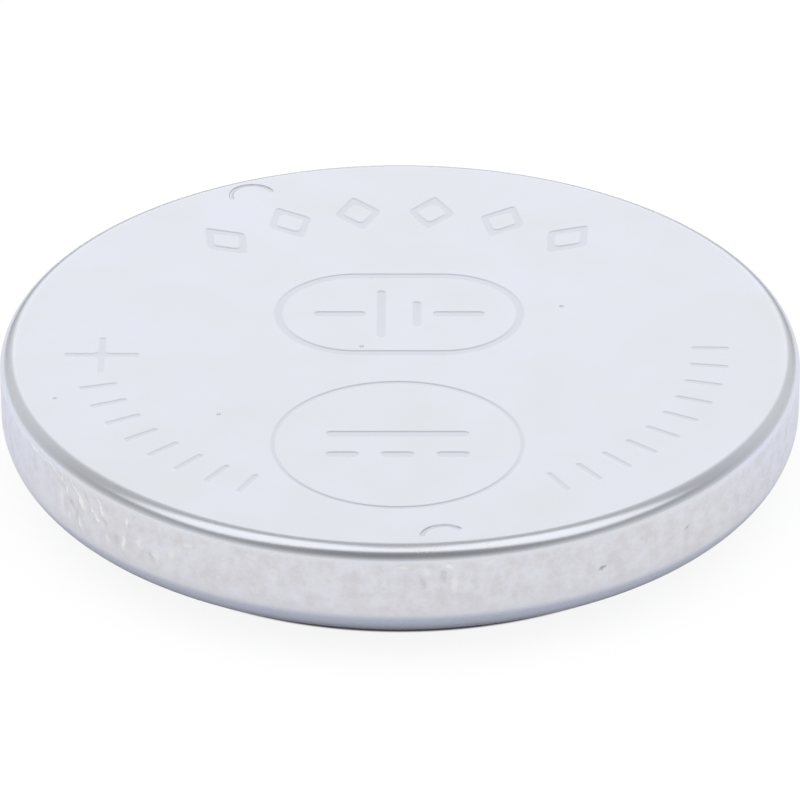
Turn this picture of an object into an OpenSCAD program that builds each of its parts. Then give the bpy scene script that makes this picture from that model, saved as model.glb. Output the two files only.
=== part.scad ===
// Round lithium coin cell, 20 mm across and 3.2 mm high, lying with its positive face up.
// Z runs along the axis of the cell, from the middle of the negative face at the origin.
// Every piece but the collector grid is a half section turned once round Z.

/* [Cell] */
// Diameter over the upright wall of the can
cell_d = 20; // [18:0.5:24]
// Height from the negative face to the positive face
cell_h = 3.2; // [2.8:0.1:4]

/* [Can] */
// Thickness of the can's steel sheet
can_t = 0.25; // [0.2:0.01:0.3]
// Inner radius of the bend between the can's plate and its wall
can_bend_r = 0.15; // [0.05:0.01:0.2]
// How far the can's foot curls in from the upright wall, in degrees
curl_turn = 75; // [60:1:80]
// Height of the foot's cut edge above the negative face
foot_rise = 0.54; // [0.4:0.02:0.7]

/* [Cap] */
// Thickness of the cap's steel sheet
cap_t = 0.25; // [0.2:0.01:0.3]
// Inner radius of the bend between the cap's face and its step
cap_bend_r = 0.1; // [0.05:0.01:0.2]
// Outer radius of the bend where the step turns out into the ledge
step_bend_r = 0.12; // [0.08:0.01:0.2]
// Width of the flat ledge, from that bend to the shoulder
ledge_w = 0.08; // [0.05:0.01:0.2]
// Outer radius of the shoulder where the ledge turns up into the skirt
shoulder_r = 0.6; // [0.5:0.05:0.8]

/* [Gasket] */
// Thickness of the gasket between the can and the cap
gasket_t = 0.35; // [0.3:0.01:0.4]
// Thickness of the gasket's floor, which the skirt of the cap stands on
floor_t = 0.3; // [0.25:0.01:0.4]
// Thickness of the lip inside the skirt
lip_t = 0.3; // [0.2:0.01:0.35]
// Height of the lip, measured from the can's plate
lip_h = 0.8; // [0.6:0.05:1]
// How far the gasket swells over the cut edge of the can
swell = 0.1; // [0.05:0.01:0.15]

/* [Electrodes] */
// Thickness of the lithium disc
anode_t = 0.6; // [0.4:0.05:0.7]
// Gap round the lithium disc, to the step of the cap
anode_gap = 0.45; // [0.3:0.05:0.8]
// Thickness of the separator
separator_t = 0.2; // [0.15:0.01:0.3]
// Inner radius of the bend between the separator's floor and its rim
separator_bend_r = 0.2; // [0.1:0.05:0.3]
// Gap round the separator, to the step of the cap
separator_gap = 0.15; // [0.1:0.01:0.2]
// Height of the separator's rim above the lithium disc
separator_h = 1.3; // [1:0.05:1.5]
// Gap round the cathode pellet, to the rim of the separator
pellet_gap = 0.25; // [0.2:0.05:0.4]
// Chamfer on the edges of the cathode pellet
pellet_chamfer = 0.1; // [0.05:0.01:0.2]

/* [Collector grid] */
// Diameter of the steel grid let into the cathode pellet
grid_d = 12; // [10:0.5:14]
// Thickness of the grid
grid_t = 0.1; // [0.08:0.01:0.15]
// Distance from wire to wire
grid_pitch = 1.1; // [1.05:0.05:1.5]
// Width of a wire
grid_wire = 0.25; // [0.15:0.01:0.4]
// Width of the solid border round the meshes
grid_border = 0.2; // [0.1:0.05:0.4]
// Gap between the grid and the wall of its seat in the pellet
grid_gap = 0.1; // [0.05:0.01:0.2]

/* [Hidden] */
$fn = 96;

// Heights in the flat stack, from the negative face up
anode_z = cap_t;
separator_z = anode_z + anode_t;
pellet_z = separator_z + separator_t;
plate_z = cell_h - can_t;

// The cap's shoulder, the gasket and the can's curl bend about one centre
curl_r = shoulder_r + gasket_t + can_t;
curl_x = cell_d / 2 - curl_r;
curl_z = foot_rise + curl_r * sin(curl_turn);

// The skirt of the cap stands on the floor of the gasket, outside the lip
skirt_r = curl_x + shoulder_r;
skirt_in_r = skirt_r - cap_t;
skirt_z = plate_z - floor_t;
lip_r = skirt_in_r - lip_t;

// The step of the cap drops from the ledge to the negative face
ledge_z = curl_z - shoulder_r;
step_r = curl_x - ledge_w - step_bend_r;
step_in_r = step_r - cap_t;

// Each inner piece is sized from the piece round it
anode_r = step_in_r - anode_gap;
separator_r = step_in_r - separator_gap;
pellet_r = separator_r - separator_t - pellet_gap;

// Length that carries a cut clear past a face
past = 0.2;

// Rectangle given by two opposite corners
module rect(low, high) {
    translate(low) square(high - low);
}

// Part of the plane between two angles, wide enough for any section here
module wedge(from, to) {
    polygon([[0, 0], for (a = [from, (from + to) / 2, to]) cell_d * [cos(a), sin(a)]]);
}

// Lower quarter of a circle, right of its centre
module low_quarter(r) {
    intersection() {
        circle(r);
        translate([0, -r]) square(r);
    }
}

// Half section of what the can's outer surface holds, drawn in by inset
module can_fill(inset) {
    bend = can_bend_r + can_t - inset;
    side = cell_d / 2 - inset;
    top = cell_h - inset;
    rect([0, curl_z], [side - bend, top]);
    rect([0, curl_z], [side, top - bend]);
    translate([side - bend, top - bend]) circle(bend);
    rect([0, curl_z - curl_r + inset], [curl_x, curl_z]);
    translate([curl_x, curl_z]) low_quarter(curl_r - inset);
}

// Half section of what the cap's outer surface holds, drawn in by inset
module cap_fill(inset) {
    bend = cap_bend_r + cap_t - inset;
    side = step_r - inset;
    step_bend = [step_r + step_bend_r, ledge_z - step_bend_r];
    rect([0, inset], [side - bend, curl_z]);
    rect([0, inset + bend], [side, curl_z]);
    translate([side - bend, inset + bend]) circle(bend);
    difference() {
        rect([side - bend, step_bend.y], [step_bend.x, curl_z]);
        translate(step_bend) circle(step_bend_r + inset);
    }
    rect([0, ledge_z + inset], [curl_x, curl_z]);
    translate([curl_x, curl_z]) low_quarter(shoulder_r - inset);
    rect([0, curl_z], [skirt_r - inset, skirt_z]);
}

// Half section of the can: one sheet, drawn to a cup and curled in at its foot
module can_section() {
    intersection() {
        difference() {
            can_fill(0);
            can_fill(can_t);
        }
        union() {
            rect([0, curl_z], [cell_d, cell_h]);
            translate([curl_x, curl_z]) wedge(-curl_turn, 0);
        }
    }
}

// Half section of the cap: one sheet, with a step, a ledge, a shoulder and a skirt
module cap_section() {
    difference() {
        cap_fill(0);
        cap_fill(cap_t);
        rect([0, skirt_z - past], [skirt_in_r, cell_h]);
    }
}

// Half section of the gasket: a wall and curl outside the cap, a floor and a lip inside it
module gasket_section() {
    bead_r = shoulder_r + gasket_t + swell;
    lip_end = [lip_r + lip_t / 2, plate_z - lip_h + lip_t / 2];
    difference() {
        union() {
            intersection() {
                can_fill(can_t);
                rect([lip_r, curl_z], [cell_d, cell_h]);
            }
            translate([curl_x, curl_z]) low_quarter(curl_r - can_t);
            translate([curl_x, curl_z]) intersection() {
                circle(bead_r);
                wedge(-90, -curl_turn);
            }
            rect([step_r, curl_z - bead_r], [curl_x, curl_z]);
        }
        cap_fill(0);
    }
    rect([lip_r, lip_end.y], [skirt_in_r, plate_z]);
    translate(lip_end) circle(lip_t / 2);
}

// Half section of the separator: a flat floor, a bend and an upright rim
module separator_section() {
    bend = [separator_r - separator_t - separator_bend_r, pellet_z + separator_bend_r];
    rect([0, separator_z], [bend.x, pellet_z]);
    translate(bend) difference() {
        low_quarter(separator_bend_r + separator_t);
        circle(separator_bend_r);
    }
    rect([separator_r - separator_t, bend.y], [separator_r, separator_z + separator_h]);
}

// Half section of the cathode pellet, before the grid's seat is cut
module pellet_section() {
    c = pellet_chamfer;
    polygon([
        [0, pellet_z], [pellet_r - c, pellet_z], [pellet_r, pellet_z + c],
        [pellet_r, plate_z - c], [pellet_r - c, plate_z], [0, plate_z]
    ]);
}

// Steel can, the positive terminal
module positive_can() {
    color("gainsboro") rotate_extrude() can_section();
}

// Steel cap, the negative terminal
module negative_cap() {
    color("lightgray") rotate_extrude() cap_section();
}

// Polypropylene ring that seals the cap into the can and keeps the two apart
module gasket() {
    color("ivory") rotate_extrude() gasket_section();
}

// Lithium disc pressed onto the inside of the cap
module lithium_anode() {
    color("silver") translate([0, 0, anode_z]) cylinder(r = anode_r, h = anode_t);
}

// Non-woven polypropylene dish that holds the pellet off the lithium
module separator() {
    color("white") rotate_extrude() separator_section();
}

// Pressed pellet of manganese dioxide, with a seat for the grid in its upper face
module cathode_pellet() {
    color("dimgray") difference() {
        rotate_extrude() pellet_section();
        translate([0, 0, plate_z - grid_t]) cylinder(r = grid_d / 2 + grid_gap, h = grid_t + past);
    }
}

// Steel grid that carries the current from the pellet to the can
module collector_grid() {
    mesh_w = grid_pitch - grid_wire;
    mesh_reach = grid_d / 2 - grid_border;
    rows = floor(mesh_reach / grid_pitch);
    color("darkgray") translate([0, 0, plate_z - grid_t]) linear_extrude(grid_t) difference() {
        circle(d = grid_d);
        for (i = [-rows : rows], j = [-rows : rows])
            if (norm([abs(i), abs(j)] * grid_pitch + [mesh_w, mesh_w] / 2) < mesh_reach)
                translate([i, j] * grid_pitch) square(mesh_w, center = true);
    }
}

positive_can();
collector_grid();
cathode_pellet();
separator();
lithium_anode();
gasket();
negative_cap();
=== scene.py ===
"""Looks of a lithium coin cell that lies with its positive face up.

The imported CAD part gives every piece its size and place.  The pieces that show, the can, the
cap and the gasket, are drawn again here as half sections spun round the axis, finely enough to
carry the stamped marks and the wear.  The pieces inside get their own finishes.
"""

from __future__ import annotations

import logging
import math
from dataclasses import dataclass
from enum import Enum

import bmesh
import bpy
from bmesh.types import BMesh, BMFace, BMVert
from mathutils import Matrix, Vector, noise

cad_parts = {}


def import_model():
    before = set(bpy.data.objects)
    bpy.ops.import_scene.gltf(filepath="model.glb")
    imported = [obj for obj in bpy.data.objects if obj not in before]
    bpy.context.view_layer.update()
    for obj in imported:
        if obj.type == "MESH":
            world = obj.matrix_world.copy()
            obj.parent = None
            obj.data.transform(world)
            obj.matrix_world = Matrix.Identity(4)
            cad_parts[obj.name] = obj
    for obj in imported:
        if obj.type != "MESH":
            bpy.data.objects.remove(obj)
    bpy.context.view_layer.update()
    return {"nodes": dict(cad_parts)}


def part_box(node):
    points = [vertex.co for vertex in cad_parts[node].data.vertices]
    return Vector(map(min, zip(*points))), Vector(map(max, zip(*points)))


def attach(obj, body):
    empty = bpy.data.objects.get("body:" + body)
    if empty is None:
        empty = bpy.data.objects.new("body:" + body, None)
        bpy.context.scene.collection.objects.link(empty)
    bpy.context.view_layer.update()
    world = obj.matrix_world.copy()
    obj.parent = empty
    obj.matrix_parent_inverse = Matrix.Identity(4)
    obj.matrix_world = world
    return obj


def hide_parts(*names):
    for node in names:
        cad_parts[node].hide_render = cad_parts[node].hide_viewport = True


MM = 0.001

# Points of a section that lie closer together than this are one point
WELD_MM = 1e-4

# Width of the level strip beside a bend, which keeps smooth shading off the flat face
LAND_MM = 0.03

# Numbers of the colour sockets on a Mix node, whose names its other types share
MIX_A, MIX_B, MIX_RESULT = 6, 7, 2

WHITE = (1.0, 1.0, 1.0, 1.0)

log = logging.getLogger("coin_cell")


def linear(hex_colour: str) -> tuple[float, float, float, float]:
    """Turns an sRGB colour into linear light.

    Args:
        hex_colour: the colour as "#rrggbb".

    Returns:
        Red, green, blue and an alpha of one.
    """
    channels = []
    for start in (1, 3, 5):
        value = int(hex_colour[start:start + 2], 16) / 255.0
        channels.append(value / 12.92 if value <= 0.04045 else ((value + 0.055) / 1.055) ** 2.4)
    return channels[0], channels[1], channels[2], 1.0


def add_node(tree: bpy.types.NodeTree, kind: str, settings: dict[str, object] | None = None,
             inputs: dict[int | str, object] | None = None) -> bpy.types.Node:
    """Adds a node to a tree, with its settings and its inputs.

    Args:
        tree: the tree that the node goes into.
        kind: the node's type, as Blender names it.
        settings: values of the node's own properties, by name.
        inputs: what each input gets, by its name or number: a value, a socket, or a node
            whose first output is meant.

    Returns:
        The new node.
    """
    node = tree.nodes.new(kind)
    for name, value in (settings or {}).items():
        setattr(node, name, value)
    for key, value in (inputs or {}).items():
        if isinstance(value, bpy.types.Node):
            value = value.outputs[0]
        if isinstance(value, bpy.types.NodeSocket):
            tree.links.new(value, node.inputs[key])
        else:
            node.inputs[key].default_value = value
    return node


def new_material(name: str) -> bpy.types.Material:
    """Makes a material whose node tree is still empty.

    Args:
        name: the real material and how it was made.

    Returns:
        The material.
    """
    material = bpy.data.materials.new(name)
    material.use_nodes = True
    material.node_tree.nodes.clear()
    return material


@dataclass(frozen=True)
class Section:
    """Sizes of the cell's half section, in millimetres, which its pieces share.

    The radius and the height are read from the frame.  The others repeat the CAD part's.
    """

    radius: float
    height: float
    can_t: float = 0.25
    can_bend_r: float = 0.15
    curl_turn: float = 75.0
    foot_rise: float = 0.54
    cap_t: float = 0.25
    cap_bend_r: float = 0.1
    step_bend_r: float = 0.12
    ledge_w: float = 0.08
    shoulder_r: float = 0.6
    gasket_t: float = 0.35
    floor_t: float = 0.3
    lip_t: float = 0.3
    lip_h: float = 0.8
    swell: float = 0.1

    @classmethod
    def from_frame(cls) -> Section:
        """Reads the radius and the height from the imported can."""
        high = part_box("positive_can")[1]
        return cls(radius=high.x / MM, height=high.z / MM)

    @property
    def edge_r(self) -> float:
        """Outer radius of the bend between the can's plate and its wall."""
        return self.can_bend_r + self.can_t

    @property
    def flat_r(self) -> float:
        """Radius of the flat part of the positive face."""
        return self.radius - self.edge_r

    @property
    def edge_z(self) -> float:
        """Height of the wall's upper end, where that bend begins."""
        return self.height - self.edge_r

    @property
    def plate_z(self) -> float:
        """Height of the inner side of the can's plate."""
        return self.height - self.can_t

    @property
    def curl_r(self) -> float:
        """Outer radius of the can's curled foot."""
        return self.shoulder_r + self.gasket_t + self.can_t

    @property
    def curl_x(self) -> float:
        """Distance of the curl's centre from the axis."""
        return self.radius - self.curl_r

    @property
    def curl_z(self) -> float:
        """Height of the curl's centre."""
        return self.foot_rise + self.curl_r * math.sin(math.radians(self.curl_turn))

    @property
    def ledge_z(self) -> float:
        """Height of the lower side of the cap's ledge."""
        return self.curl_z - self.shoulder_r

    @property
    def step_r(self) -> float:
        """Outer radius of the cap's step."""
        return self.curl_x - self.ledge_w - self.step_bend_r

    @property
    def cap_flat_r(self) -> float:
        """Radius of the flat part of the negative face."""
        return self.step_r - self.cap_bend_r - self.cap_t

    @property
    def step_bend(self) -> tuple[float, float]:
        """Centre of the bend where the step turns out into the ledge."""
        return self.step_r + self.step_bend_r, self.ledge_z - self.step_bend_r

    @property
    def skirt_r(self) -> float:
        """Outer radius of the cap's skirt."""
        return self.curl_x + self.shoulder_r

    @property
    def skirt_z(self) -> float:
        """Height of the skirt's upper end."""
        return self.plate_z - self.floor_t

    def on_curl(self, radius: float, degrees: float) -> tuple[float, float]:
        """Gives the point at a radius from the curl's centre, turned down from the wall."""
        angle = math.radians(degrees)
        return self.curl_x + radius * math.cos(angle), self.curl_z - radius * math.sin(angle)


class HalfSection:
    """A half section, drawn as a chain of edges and then spun once round the axis.

    Points are given as distance from the axis and height, in millimetres.
    """

    def __init__(self, x: float, z: float) -> None:
        """Puts the pen down at a point."""
        self.mesh: BMesh = bmesh.new()
        self.tip: BMVert = self.mesh.verts.new((x, 0.0, z))

    def line(self, x: float, z: float, steps: int = 1) -> None:
        """Draws a straight stretch to a point.

        Args:
            x: the point's distance from the axis.
            z: its height.
            steps: the number of equal steps on the way.
        """
        start, end = self.tip.co.copy(), Vector((x, 0.0, z))
        for step in range(1, steps + 1):
            self.tip = bmesh.ops.extrude_vert_indiv(self.mesh, verts=[self.tip])["verts"][0]
            self.tip.co = start.lerp(end, step / steps)

    def arc(self, x: float, z: float, degrees: float, steps: int) -> None:
        """Turns the pen about a centre.

        Args:
            x: the centre's distance from the axis.
            z: its height.
            degrees: how far the pen turns, clockwise as seen from the front where positive.
            steps: the number of equal steps on the way.
        """
        turned = bmesh.ops.spin(
            self.mesh, geom=[self.tip], cent=(x, 0.0, z), axis=(0.0, 1.0, 0.0),
            angle=math.radians(degrees), steps=steps)
        self.tip = next(item for item in turned["geom_last"] if isinstance(item, BMVert))

    def spin(self, segments: int) -> BMesh:
        """Spins the chain once round the axis and closes its seam and its poles.

        Args:
            segments: the number of steps in the full turn.

        Returns:
            The mesh, which is open only where the chain was.
        """
        bmesh.ops.remove_doubles(self.mesh, verts=self.mesh.verts[:], dist=WELD_MM)
        bmesh.ops.spin(
            self.mesh, geom=self.mesh.verts[:] + self.mesh.edges[:], cent=(0.0, 0.0, 0.0),
            axis=(0.0, 0.0, 1.0), angle=math.tau, steps=segments, use_merge=True)
        bmesh.ops.remove_doubles(self.mesh, verts=self.mesh.verts[:], dist=WELD_MM)
        return self.mesh


def append(mesh: BMesh, other: BMesh) -> None:
    """Moves all of another mesh into a mesh.

    Args:
        mesh: the mesh that takes it.
        other: the other mesh, which is freed.
    """
    carrier = bpy.data.meshes.new("carrier")
    other.to_mesh(carrier)
    other.free()
    mesh.from_mesh(carrier)
    bpy.data.meshes.remove(carrier)


def fill_level(mesh: BMesh) -> list[BMFace]:
    """Fills the level ground between the open edges of a mesh.

    Args:
        mesh: the mesh, whose open edges all lie at one height.

    Returns:
        The new faces.
    """
    edges = [edge for edge in mesh.edges if len(edge.link_faces) < 2]
    filled = bmesh.ops.triangle_fill(mesh, use_beauty=True, edges=edges, normal=(0.0, 0.0, 1.0))
    return [item for item in filled["geom"] if isinstance(item, BMFace)]


def round_corners(mesh: BMesh, radius: float, steps: int) -> None:
    """Rounds every corner of a flat face.

    Args:
        mesh: the mesh, which holds that face alone.
        radius: how far from a corner its rounding begins on each side.
        steps: the number of steps round a corner.
    """
    bmesh.ops.bevel(mesh, geom=mesh.verts[:], offset=radius, offset_type="OFFSET",
                    segments=steps, profile=0.5, affect="VERTICES", material=-1)


def face_up(mesh: BMesh) -> None:
    """Turns the faces of a level mesh so that they all face up.

    Args:
        mesh: the level mesh.
    """
    for face in mesh.faces:
        face.normal_update()
        if face.normal.z < 0.0:
            face.normal_flip()


@dataclass(frozen=True)
class Die:
    """The tool that coins a mark: how deep it goes and how its walls are rounded.

    Attributes:
        depth: how far the ground of the mark lies below the face, in millimetres.
        wall: the width of the sloping wall.
        collar: the width of the level strip above the wall, which keeps the face flat.
        steps: the number of faces across the wall.
    """

    depth: float = 0.008
    wall: float = 0.075
    collar: float = 0.012
    steps: int = 6

    def sink(self, mesh: BMesh, faces: list[BMFace]) -> None:
        """Sinks level faces, with walls that run in and out softly.

        Args:
            mesh: the mesh that they are part of.
            faces: the faces, which become the ground of the mark.
        """
        bmesh.ops.inset_region(mesh, faces=faces, thickness=self.collar,
                               use_boundary=True, use_even_offset=True)
        drop = 0.0
        for step in range(1, self.steps + 1):
            goal = 0.5 * self.depth * (1.0 - math.cos(math.pi * step / self.steps))
            bmesh.ops.inset_region(
                mesh, faces=faces, thickness=self.wall / self.steps, depth=drop - goal,
                use_boundary=True, use_even_offset=True)
            drop = goal


STROKE_DIE = Die()
TICK_DIE = Die(depth=0.006, wall=0.07, collar=0.01, steps=5)
NICK_DIE = Die(depth=0.016, wall=0.05, steps=5)
PIT_DIE = Die(depth=0.03, wall=0.035, collar=0.008, steps=3)


@dataclass(frozen=True)
class Mark:
    """A mark on the positive face, in millimetres and degrees.

    Attributes:
        x: distance of its middle to the right of the axis.
        y: distance of its middle behind the axis.
        turn: how far it is turned, anticlockwise as seen from above.
        die: the tool that sinks it.
        line: the width of its line, or zero where the whole outline is sunk.
        inner: the marks on the ground inside its line, placed from its own middle.
    """

    x: float = 0.0
    y: float = 0.0
    turn: float = 0.0
    die: Die = STROKE_DIE
    line: float = 0.0
    inner: tuple[Mark, ...] = ()

    def outline(self, inset: float) -> BMesh:
        """Draws the outline, drawn in by an inset, as one level face round the origin."""
        raise NotImplementedError

    def build(self) -> BMesh:
        """Draws the mark, sinks it and puts it in its place.

        Returns:
            The mark's mesh, level with the ground at its open edges.
        """
        mesh = self.outline(self.line)
        sunk = mesh.faces[:]
        if self.line:
            if self.inner:
                bmesh.ops.delete(mesh, geom=sunk, context="FACES_ONLY")
                for mark in self.inner:
                    append(mesh, mark.build())
                fill_level(mesh)
            rim = self.outline(0.0)
            bmesh.ops.delete(rim, geom=rim.faces[:], context="FACES_ONLY")
            append(mesh, rim)
            sunk = fill_level(mesh)
        self.die.sink(mesh, sunk)
        place = Matrix.Translation((self.x, self.y, 0.0))
        bmesh.ops.transform(mesh, matrix=place @ Matrix.Rotation(math.radians(self.turn), 4, "Z"),
                            verts=mesh.verts[:])
        return mesh


@dataclass(frozen=True)
class Bar(Mark):
    """A straight stroke with round ends, which is a pill where it is drawn with a line."""

    width: float = 0.2
    length: float = 1.0
    corner_steps: int = 6

    def outline(self, inset: float) -> BMesh:
        """Draws a rectangle and rounds its corners as far as they go.

        Args:
            inset: how far the outline is drawn in.

        Returns:
            The outline, as one level face round the origin.
        """
        width, length = self.width - 2 * inset, self.length - 2 * inset
        narrow = min(width, length)
        mesh = bmesh.new()
        size = Matrix.Diagonal((width / 2, length / 2, 1.0, 1.0))
        bmesh.ops.create_grid(mesh, x_segments=1, y_segments=1, size=1.0, matrix=size)
        # The two roundings of an end stop just short of each other, and are then welded
        round_corners(mesh, 0.495 * narrow, self.corner_steps)
        bmesh.ops.remove_doubles(mesh, verts=mesh.verts[:], dist=0.02 * narrow)
        return mesh


@dataclass(frozen=True)
class Diamond(Mark):
    """A diamond with slightly rounded corners."""

    width: float = 1.35
    length: float = 1.95
    corner: float = 0.18

    def outline(self, inset: float) -> BMesh:
        """Draws a circle of four sides, stretches it and rounds its corners.

        Args:
            inset: how far the outline is drawn in.

        Returns:
            The outline, as one level face round the origin.
        """
        side_gap = self.width * self.length / (2 * math.hypot(self.width, self.length))
        scale = 1.0 - inset / side_gap
        mesh = bmesh.new()
        size = Matrix.Diagonal((scale * self.width / 2, scale * self.length / 2, 1.0, 1.0))
        bmesh.ops.create_circle(mesh, cap_ends=True, segments=4, radius=1.0, matrix=size)
        round_corners(mesh, self.corner * scale, 4)
        return mesh


@dataclass(frozen=True)
class Disc(Mark):
    """A circle, which is a ring where it is drawn with a line."""

    across: float = 1.0
    segments: int = 128

    def outline(self, inset: float) -> BMesh:
        """Draws the circle.

        Args:
            inset: how far the outline is drawn in.

        Returns:
            The outline, as one level face round the origin.
        """
        mesh = bmesh.new()
        bmesh.ops.create_circle(mesh, cap_ends=True, segments=self.segments,
                                radius=self.across / 2 - inset)
        return mesh


@dataclass(frozen=True)
class Plus(Mark):
    """A plus sign, whose two bars may differ in length."""

    width: float = 1.96
    height: float = 1.83
    stroke: float = 0.26

    def outline(self, inset: float) -> BMesh:
        """Draws a square and pulls an arm out of each of its sides.

        Args:
            inset: how far the outline is drawn in.

        Returns:
            The outline, as one level face round the origin.
        """
        mesh = bmesh.new()
        bmesh.ops.create_grid(mesh, x_segments=1, y_segments=1, size=self.stroke / 2 - inset)
        for edge in mesh.edges[:]:
            side = (edge.verts[0].co + edge.verts[1].co).normalized()
            reach = self.width if abs(side.x) > abs(side.y) else self.height
            arm = bmesh.ops.extrude_edge_only(mesh, edges=[edge])["geom"]
            bmesh.ops.translate(mesh, verts=[item for item in arm if isinstance(item, BMVert)],
                                vec=side * (reach - self.stroke) / 2)
        bmesh.ops.dissolve_faces(mesh, faces=mesh.faces[:])
        # More than the die's collar and wall take, so that the walls run clean round a corner
        round_corners(mesh, 0.4 * self.stroke, 4)
        return mesh


@dataclass(frozen=True)
class Crescent(Mark):
    """The curved nick that a tool's edge left by the rim, open towards the front."""

    across: float = 1.2
    stroke: float = 0.15
    sweep: float = 190.0
    steps: int = 13

    def outline(self, inset: float) -> BMesh:
        """Turns a short line through an arc about the origin.

        Args:
            inset: how far the sides of the outline are drawn in.

        Returns:
            The outline, as one level face.
        """
        middle, half = self.across / 2, self.stroke / 2 - inset
        start = Matrix.Rotation(math.radians(90.0 - self.sweep / 2), 4, "Z")
        mesh = bmesh.new()
        ends = [mesh.verts.new(start @ Vector((x, 0.0, 0.0))) for x in (middle - half, middle + half)]
        bmesh.ops.spin(mesh, geom=[*ends, mesh.edges.new(ends)], cent=(0.0, 0.0, 0.0),
                       axis=(0.0, 0.0, 1.0), angle=math.radians(self.sweep), steps=self.steps)
        bmesh.ops.dissolve_faces(mesh, faces=mesh.faces[:])
        face_up(mesh)
        return mesh


@dataclass(frozen=True)
class Waves:
    """A pattern of soft waves, which the can's wall takes its unevenness from.

    Attributes:
        around: how fast the pattern changes round the wall, in waves a millimetre.
        upright: how fast it changes up the wall.
        start: where in the pattern the wall lies, so that two patterns differ.
    """

    around: float
    upright: float
    start: float = 0.0

    def at(self, spot: Vector) -> float:
        """Gives the height of the waves at a point, from about -1 to 1."""
        x, y, z = spot
        return noise.noise(Vector((x * self.around, y * self.around, z * self.upright + self.start)))


LUMPS = Waves(0.9, 0.5)
RIPPLES = Waves(2.6, 0.9, 7.0)
FLUTES = Waves(3.4, 0.8, 31.0)


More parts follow.
